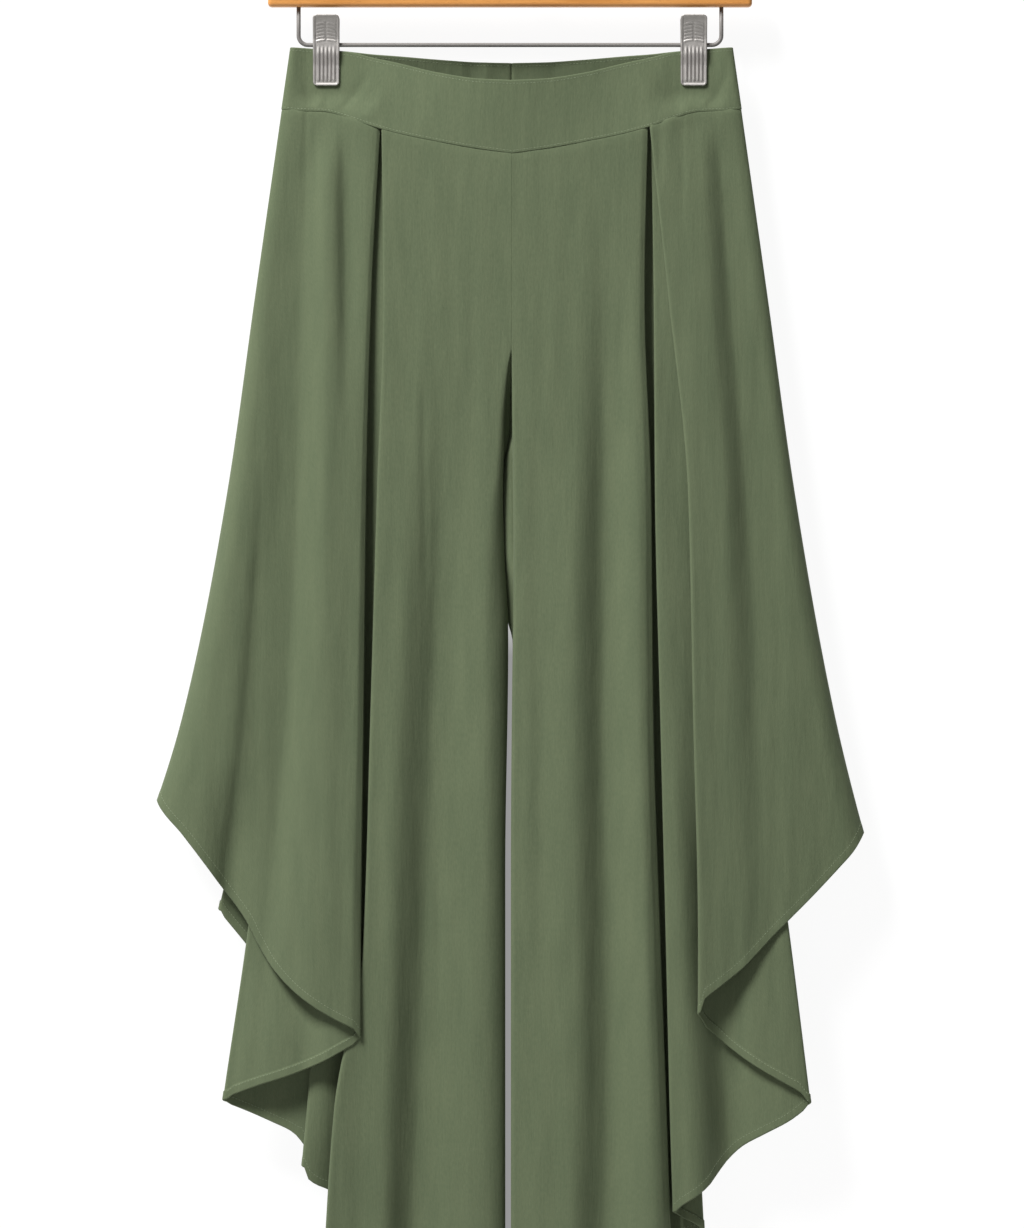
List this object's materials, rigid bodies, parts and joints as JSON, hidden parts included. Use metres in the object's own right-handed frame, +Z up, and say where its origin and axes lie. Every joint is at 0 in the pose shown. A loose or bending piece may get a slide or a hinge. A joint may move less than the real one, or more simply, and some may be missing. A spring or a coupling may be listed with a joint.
{
  "type": "palazzo pants on a clip hanger",
  "caption": "Wide-leg palazzo pants with deep pleats and side drapes whose hems fall in cascades, hung by the waistband from a wooden clip hanger.",
  "frame": {"origin": "inside top of the hanger's hook, where it bears on a rail", "axes": "+X to the viewer's right, +Y to the back, +Z up"},
  "size_m": [0.6016, 0.062, 1.1978],
  "materials": {
    "cloth": "matt sage-green crepe",
    "wood": "clear satin varnish",
    "steel": "plated, satin"
  },
  "bodies": {
    "root": {"waistband_front": "cloth", "waistband_back_left": "cloth", "waistband_back_right": "cloth", "leg_left_front": "cloth", "leg_right_front": "cloth", "leg_left_back": "cloth", "leg_right_back": "cloth", "hanger_bar": "wood", "hanger_hook": "steel", "hook_ferrule": "steel", "hook_tip": "steel", "hanger_wire": "steel", "clip_left_front": "steel", "clip_left_back": "steel", "clip_left_spring": "steel", "clip_right_front": "steel", "clip_right_back": "steel", "clip_right_spring": "steel"}
  },
  "joints": []
}
